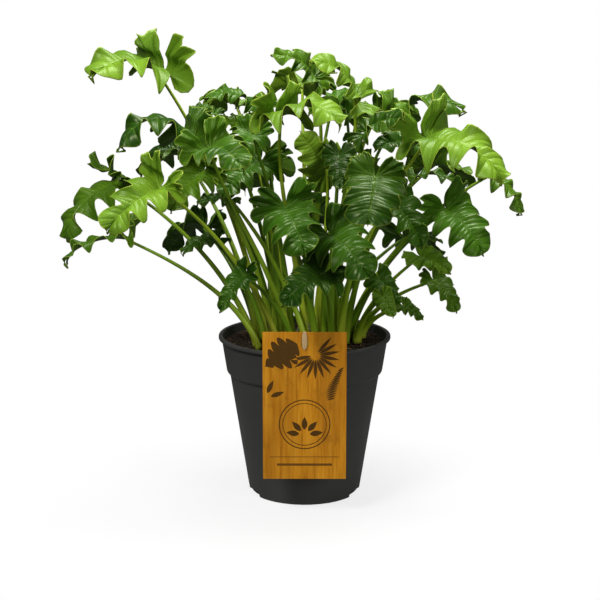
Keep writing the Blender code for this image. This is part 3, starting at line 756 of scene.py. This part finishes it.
def build_pot():
    just_over = COLLAR_FOOT + 0.001 * MM
    ledge = COLLAR_FOOT + POT_WALL
    inside_top = wall_radius(POT_HEIGHT) - POT_WALL
    corners = [
        (0, POT_FLOOR, 0),
        (wall_radius(POT_FLOOR) - POT_WALL, POT_FLOOR, 1.5 * MM),
        (wall_radius(COLLAR_FOOT) - POT_WALL, ledge, 0.8 * MM),
        (wall_radius(ledge) - POT_WALL, ledge, 0.8 * MM),
        (inside_top, POT_HEIGHT, 0.9 * MM),
        (POT_TOP_RADIUS, POT_HEIGHT, 1.2 * MM),
        (POT_TOP_RADIUS, POT_HEIGHT - LIP_HEIGHT, 0.7 * MM),
        (wall_radius(POT_HEIGHT - LIP_HEIGHT), POT_HEIGHT - LIP_HEIGHT, 0.8 * MM),
        (wall_radius(just_over), COLLAR_FOOT, 1.6 * MM),
        (wall_radius(COLLAR_FOOT), COLLAR_FOOT - 1.5 * MM, 0.8 * MM),
        (POT_FOOT_RADIUS + 0.2 * MM, 1.0 * MM, 0.9 * MM),
        (POT_FOOT_RADIUS - FOOT_BEVEL * 0.7, 0, 0.6 * MM),
        (0, 0, 0),
    ]
    pot = turned_piece("nursery_pot", rounded(corners), ROUND_STEPS, pot_material())
    for angle in NOTCH_ANGLES:
        cutter = notch_cutter(math.radians(angle))
        step = pot.modifiers.new("notch", "BOOLEAN")
        step.operation = "DIFFERENCE"
        step.object = cutter
    mesh = evaluated_mesh(pot)
    cutters = [modifier.object for modifier in pot.modifiers if modifier.type == "BOOLEAN"]
    pot.modifiers.clear()
    for cutter in cutters:
        bpy.data.objects.remove(cutter)
    pot.data = mesh
    mesh.shade_smooth()
    mesh.set_sharp_from_angle(angle=math.radians(POT_SHARP_ANGLE))
    belongs(pot, "pot")


def notch_cutter(angle):
    low = (POT_FOOT_RADIUS - NOTCH_REACH, -NOTCH_WIDTH / 2, -NOTCH_HEIGHT)
    high = (POT_TOP_RADIUS, NOTCH_WIDTH / 2, NOTCH_HEIGHT)
    cutter = box_piece("notch_cutter", low, high, 1.2 * MM)
    cutter.rotation_euler = (0, 0, angle)
    return cutter


# ---- Soil


def build_soil():
    """A closed body of soil whose top is lumpy, with loose crumbs and fibres lying on it."""
    gap = POT_WALL + CLEARANCE
    low = POT_FLOOR + CLEARANCE
    ledge = COLLAR_FOOT + POT_WALL + CLEARANCE
    edge = wall_radius(SOIL_TOP) - gap
    profile = [(edge * index / SOIL_RINGS, SOIL_TOP) for index in range(SOIL_RINGS + 1)]
    profile += [
        (wall_radius(ledge) - gap, ledge), (wall_radius(COLLAR_FOOT) - gap, ledge),
        (wall_radius(low) - gap, low), (0, low),
    ]
    dark = soil_material("soil_mix", (0.008, 0.005, 0.003), (0.060, 0.036, 0.020))
    bark = soil_material("soil_bark", (0.030, 0.014, 0.006), (0.130, 0.065, 0.028))
    pale = soil_material("soil_fibre", (0.14, 0.09, 0.045), (0.32, 0.23, 0.13))
    turned_soil = turned_piece("soil_body", profile, ROUND_STEPS, dark)
    mesh = evaluated_mesh(turned_soil)
    bpy.data.objects.remove(turned_soil)
    shape = bmesh.new()
    shape.from_mesh(mesh)
    for vertex in shape.verts:
        if vertex.co.z > SOIL_TOP - 0.1 * MM:
            radius = math.hypot(vertex.co.x, vertex.co.y)
            fade = min(1, (edge - radius) / (6 * MM))
            vertex.co.z += soil_height(vertex.co.x, vertex.co.y) * fade
    draw = np.random.default_rng(7)
    for _ in range(CRUMBS):
        radius = edge * math.sqrt(draw.uniform(0.16, 0.94))
        angle = draw.uniform(0, 2 * math.pi)
        add_crumb(shape, radius * math.cos(angle), radius * math.sin(angle), draw)
    soil = add("potting_soil", mesh_from("potting_soil", shape, smooth=False), dark, bark, pale)
    belongs(soil, "soil")


def soil_height(x, y):
    """How far the soil's lumpy top stands over or under its level."""
    place = Vector((x, y, 0))
    broad = noise.noise(place * 45)
    fine = noise.noise(place * 260)
    return (1.2 * broad + 1.1 * fine - 0.9) * MM


def add_crumb(shape, x, y, draw):
    """A loose bit of soil (kind 0), of bark (1) or a short fibre (2)."""
    size = draw.choice([0.7, 0.9, 1.2, 1.7, 2.4], p=[0.3, 0.3, 0.2, 0.15, 0.05]) * MM
    kind = int(draw.choice([0, 1, 2], p=[0.62, 0.26, 0.12]))
    stretch = np.array([1, draw.uniform(0.5, 1), draw.uniform(0.35, 0.7)])
    if kind == 2:
        stretch = np.array([2.2, 0.35, 0.3])
    turn = draw.uniform(0, 2 * math.pi)
    made = bmesh.ops.create_icosphere(shape, subdivisions=1, radius=size)
    z = SOIL_TOP + soil_height(x, y) + size * 0.25
    for vertex in made["verts"]:
        jitter = 1 + draw.uniform(-0.28, 0.28)
        local = np.array(vertex.co) * stretch * jitter
        px = local[0] * math.cos(turn) - local[1] * math.sin(turn)
        py = local[0] * math.sin(turn) + local[1] * math.cos(turn)
        vertex.co = (x + px, y + py, z + local[2])
    for polygon in {polygon for vertex in made["verts"] for polygon in vertex.link_faces}:
        polygon.material_index = kind


# ---- Stem


def build_stem():
    low, high = box_of("stem")
    radius = high.x
    height = high.z - low.z
    rings = 26
    profile = [(0, high.z)]
    for index in range(1, rings + 1):
        t = index / rings
        swell = 1 + 0.05 * math.sin(t * 30)
        profile.append((radius * min(1, 0.25 + 1.1 * math.sqrt(t)) * swell * 0.94, high.z - height * t))
    profile.append((0, low.z))
    stem = turned_piece("short_stem", profile, STEM_STEPS, stem_material())
    mesh = evaluated_mesh(stem)
    stem.modifiers.clear()
    stem.data = mesh
    mesh.shade_smooth()
    belongs(stem, "stem")


# ---- Card, its print and its hook


def build_card():
    low, high = box_of("card")
    mesh = grid_mesh("hanging_card", CARD_COLUMNS, CARD_ROWS)
    across, upward = np.meshgrid(np.linspace(0, 1, CARD_COLUMNS), np.linspace(0, 1, CARD_ROWS))
    places = np.stack([
        low.x + (high.x - low.x) * across,
        np.full(across.shape, low.y),
        low.z + (high.z - low.z) * upward,
    ], axis=-1)
    write_points(mesh, places)
    near = np.maximum(np.abs(across - 0.5), np.abs(upward - 0.5)) * 2
    write_attribute(mesh, "edge", np.repeat(near[..., None], 3, axis=-1))
    card = add("hanging_card", mesh, card_material())
    solid = card.modifiers.new("thickness", "SOLIDIFY")
    solid.thickness = high.y - low.y
    solid.offset = -1
    slot_top = high.z - SLOT_DROP
    half = HOOK_WIDTH / 2 + CLEARANCE
    slot_low = (-half, low.y - MM, slot_top - SLOT_HEIGHT)
    cutter = box_piece("slot_cutter", slot_low, (half, high.y + MM, slot_top))
    cut = card.modifiers.new("slot", "BOOLEAN")
    cut.operation = "DIFFERENCE"
    cut.object = cutter
    mesh = evaluated_mesh(card)
    card.modifiers.clear()
    bpy.data.objects.remove(cutter)
    card.data = mesh
    belongs(card, "card")


def printed(name, outlines, material, lift=0.06 * MM):
    """Ink on the card: closed outlines in the card's own x and z, a hair proud of its face."""
    low, high = box_of("card")
    curve = bpy.data.curves.new(name, "CURVE")
    curve.dimensions = "2D"
    curve.fill_mode = "BOTH"
    curve.extrude = lift / 2
    for outline in outlines:
        spline = curve.splines.new("POLY")
        spline.points.add(len(outline) - 1)
        spline.use_cyclic_u = True
        for point, (x, z) in zip(spline.points, outline):
            point.co = (x, z, 0, 1)
    thing = add(name, curve)
    thing.rotation_euler = (math.radians(90), 0, 0)
    thing.location = ((low.x + high.x) / 2, low.y - lift / 2, high.z)
    mesh = evaluated_mesh(thing)
    mesh.transform(thing.matrix_world)
    mesh.materials.clear()
    bpy.data.objects.remove(thing)
    piece = add(name, mesh, material)
    belongs(piece)


def circle(radius, centre, count=64):
    x, z = centre
    turns = [2 * math.pi * index / count for index in range(count)]
    return [(x + radius * math.cos(turn), z + radius * math.sin(turn)) for turn in turns]


def beside(base, angle, distance):
    turn = math.radians(angle)
    return base[0] + distance * math.cos(turn), base[1] + distance * math.sin(turn)


def slim_leaf(base, angle, length, width, count=12):
    """A pointed leaf outline from its base, at an angle in degrees from the right."""
    turn = math.radians(angle)
    points = []
    for side in (1, -1):
        steps = range(count + 1) if side == 1 else range(count - 1, 0, -1)
        for index in steps:
            t = index / count
            half = side * width / 2 * math.sin(math.pi * t ** 0.8)
            points.append((
                base[0] + t * length * math.cos(turn) - half * math.sin(turn),
                base[1] + t * length * math.sin(turn) + half * math.cos(turn),
            ))
    return points


def split_leaf(base, angle, length, fingers=5):
    """A broad leaf whose rounded fingers stand on both sides of a midrib."""
    turn = math.radians(angle)
    outline = []
    count = fingers * 12
    for side in (1, -1):
        order = range(count + 1) if side == 1 else range(count - 1, 0, -1)
        for index in order:
            t = index / count
            finger = 0.5 + 0.5 * abs(math.sin(math.pi * fingers * t)) ** 0.6
            py = side * 0.44 * length * math.sin(math.pi * t ** 0.75) * finger
            px = t * length
            outline.append((
                base[0] + px * math.cos(turn) - py * math.sin(turn),
                base[1] + px * math.sin(turn) + py * math.cos(turn),
            ))
    return outline


def build_print():
    """Plain plant shapes at the top, a ring with a sprig below them, and a rule and a bar."""
    ink = plain_material("dark_ink", (0.060, 0.027, 0.004), (0.110, 0.050, 0.006), 500, 0.6)
    faint = plain_material("brown_ink", (0.12, 0.052, 0.006), (0.17, 0.075, 0.010), 400, 0.6)
    shapes = [split_leaf((-0.006, -0.010), 216, 0.033)]
    for angle in range(-170, 70, 20):
        shapes.append(slim_leaf(beside((0.009, -0.020), angle, 0.0035), angle, 0.017, 0.0030))
    for index in range(13):
        t = index / 12
        base = (0.0325 - 0.007 * t, -0.030 - 0.026 * t)
        size = 0.004 + 0.008 * math.sin(math.pi * (0.1 + 0.75 * t))
        shapes.append(slim_leaf(base, 214 - 18 * t, size, 0.0015))
    for angle, base in ((65, (-0.031, -0.052)), (20, (-0.028, -0.055))):
        shapes.append(slim_leaf(base, angle, 0.012, 0.004))
    centre = (0.000, -0.079)
    shapes += [circle(radius, centre) for radius in (0.0215, 0.0206, 0.0184, 0.0178)]
    for angle in (90, 48, 132, 8, 172):
        shapes.append(slim_leaf(beside((0.000, -0.088), angle, 0.0045), angle, 0.0110, 0.0048))
    printed("card_shapes", shapes, ink)
    rule = [(-0.029, -0.1075), (0.029, -0.1075), (0.029, -0.1070), (-0.029, -0.1070)]
    bar = [(-0.023, -0.1150), (0.023, -0.1150), (0.023, -0.1130), (-0.023, -0.1130)]
    printed("card_rule_and_bar", [rule, bar], faint)


def build_hook():
    """A bent strip with an oval face before the card and a leg inside the pot."""
    low, high = box_of("card_hook")
    card_low, card_high = box_of("card")
    thick = HOOK_THICKNESS
    neck_top = card_high.z - SLOT_DROP - CLEARANCE
    half = (high.x - low.x) / 2
    shape = bmesh.new()
    rim = []
    count = 40
    middle = high.z - HOOK_FACE / 2
    for index in range(count):
        turn = 2 * math.pi * index / count
        x = half * math.cos(turn)
        z = middle + HOOK_FACE / 2 * math.copysign(abs(math.sin(turn)) ** 0.8, math.sin(turn))
        rim.append((x, z))
    depths = [
        (card_low.y - CLEARANCE, 0.94), (card_low.y - CLEARANCE - 0.2 * thick, 1.0),
        (low.y + 0.35 * thick, 1.0), (low.y, 0.86),
    ]
    rings = [
        [shape.verts.new((x * size, y, middle + (z - middle) * size)) for x, z in rim] for y, size in depths
    ]
    for near, far in zip(rings, rings[1:]):
        for index in range(count):
            after = (index + 1) % count
            shape.faces.new((near[index], near[after], far[after], far[index]))
    shape.faces.new(rings[0])
    shape.faces.new(list(reversed(rings[-1])))
    path = [
        (card_low.y - 0.5 * thick, neck_top - thick / 2), (high.y - thick / 2, neck_top - thick / 2),
        (high.y - thick / 2, low.z),
    ]
    for start, stop in zip(path, path[1:]):
        made = bmesh.ops.create_cube(shape, size=1)
        for vertex in made["verts"]:
            vertex.co = (
                vertex.co.x * 2 * half,
                min(start[0], stop[0]) - thick / 2 + (abs(stop[0] - start[0]) + thick) * (vertex.co.y + 0.5),
                min(start[1], stop[1]) - thick / 2 + (abs(stop[1] - start[1]) + thick) * (vertex.co.z + 0.5),
            )
    bmesh.ops.recalc_face_normals(shape, faces=shape.faces)
    finish = plain_material("beige_hook", (0.50, 0.33, 0.14), (0.68, 0.50, 0.27), 160, 0.42)
    hook = add("card_hook_piece", mesh_from("card_hook_piece", shape, smooth=False), finish)
    hook.data.set_sharp_from_angle(angle=math.radians(HOOK_SHARP_ANGLE))
    belongs(hook, "card_hook")


# ---- Stage, light and camera


def build_stage():
    """A pale floor that fades into the white surroundings."""
    shape = bmesh.new()
    bmesh.ops.create_circle(shape, cap_ends=True, segments=96, radius=2)
    made = Nodes("pale_floor")
    tint = made.mix(made.noise(3, 2), (0.90, 0.90, 0.90), (0.93, 0.93, 0.93))
    made.finish(tint, 0.8, Specular_IOR_Level=0.1)
    reach = made.node("VectorMath", operation="LENGTH")
    made.link(made.place(), reach.inputs[0])
    fade = made.node("MapRange", interpolation_type="SMOOTHSTEP")
    made.link(reach.outputs["Value"], fade.inputs[0])
    fade.inputs[1].default_value = 0.04
    fade.inputs[2].default_value = 0.36
    fade.inputs[3].default_value = 0.8
    blend = made.node("MixShader")
    made.link(fade.outputs[0], blend.inputs[0])
    made.link(made.shader.outputs[0], blend.inputs[1])
    made.link(made.node("BsdfTransparent").outputs[0], blend.inputs[2])
    made.link(blend.outputs[0], made.tree.nodes["Material Output"].inputs[0])
    floor = add("floor", mesh_from("floor", shape, smooth=False), made.material)


def area_light(name, place, target, size, power, colour=(1, 1, 1)):
    data = bpy.data.lights.new(name, "AREA")
    data.shape = "DISK"
    data.size = size
    data.energy = power
    data.color = colour
    lamp = bpy.data.objects.new(name, data)
    lamp.location = place
    lamp.rotation_euler = (Vector(target) - Vector(place)).to_track_quat("-Z", "Y").to_euler()
    bpy.context.scene.collection.objects.link(lamp)


def build_lights():
    """White surroundings for the camera, a dimmer sky for the plant, and three soft lamps."""
    world = bpy.data.worlds.new("studio")
    bpy.context.scene.world = world
    world.use_nodes = True
    tree = world.node_tree
    sky = tree.nodes["Background"]
    sky.inputs["Color"].default_value = (1, 1, 1, 1)
    sky.inputs["Strength"].default_value = 0.10
    seen = tree.nodes.new("ShaderNodeBackground")
    seen.inputs["Color"].default_value = (1, 1, 1, 1)
    choice = tree.nodes.new("ShaderNodeMixShader")
    tree.links.new(tree.nodes.new("ShaderNodeLightPath").outputs["Is Camera Ray"], choice.inputs[0])
    tree.links.new(sky.outputs[0], choice.inputs[1])
    tree.links.new(seen.outputs[0], choice.inputs[2])
    tree.links.new(choice.outputs[0], tree.nodes["World Output"].inputs[0])
    middle = (0, 0, 0.22)
    area_light("key", (-0.8, -1.1, 1.5), middle, 0.6, 25)
    area_light("fill", (1.0, -1.4, 0.6), middle, 0.8, 9)
    area_light("top", (0.2, 0.2, 1.6), middle, 0.8, 28)


def build_camera():
    data = bpy.data.cameras.new("camera")
    camera = bpy.data.objects.new("camera", data)
    bpy.context.scene.collection.objects.link(camera)
    camera.location = (0, -1.32, 0.448)
    target = Vector((-0.004, 0, 0.171))
    camera.rotation_euler = (target - camera.location).to_track_quat("-Z", "Y").to_euler()
    data.angle = math.radians(21.9)
    bpy.context.scene.camera = camera


build_pot()
build_soil()
build_stem()
build_card()
build_print()
build_hook()
build_all_leaves()
build_stage()
build_lights()
build_camera()
bpy.context.scene.view_settings.view_transform = "Standard"
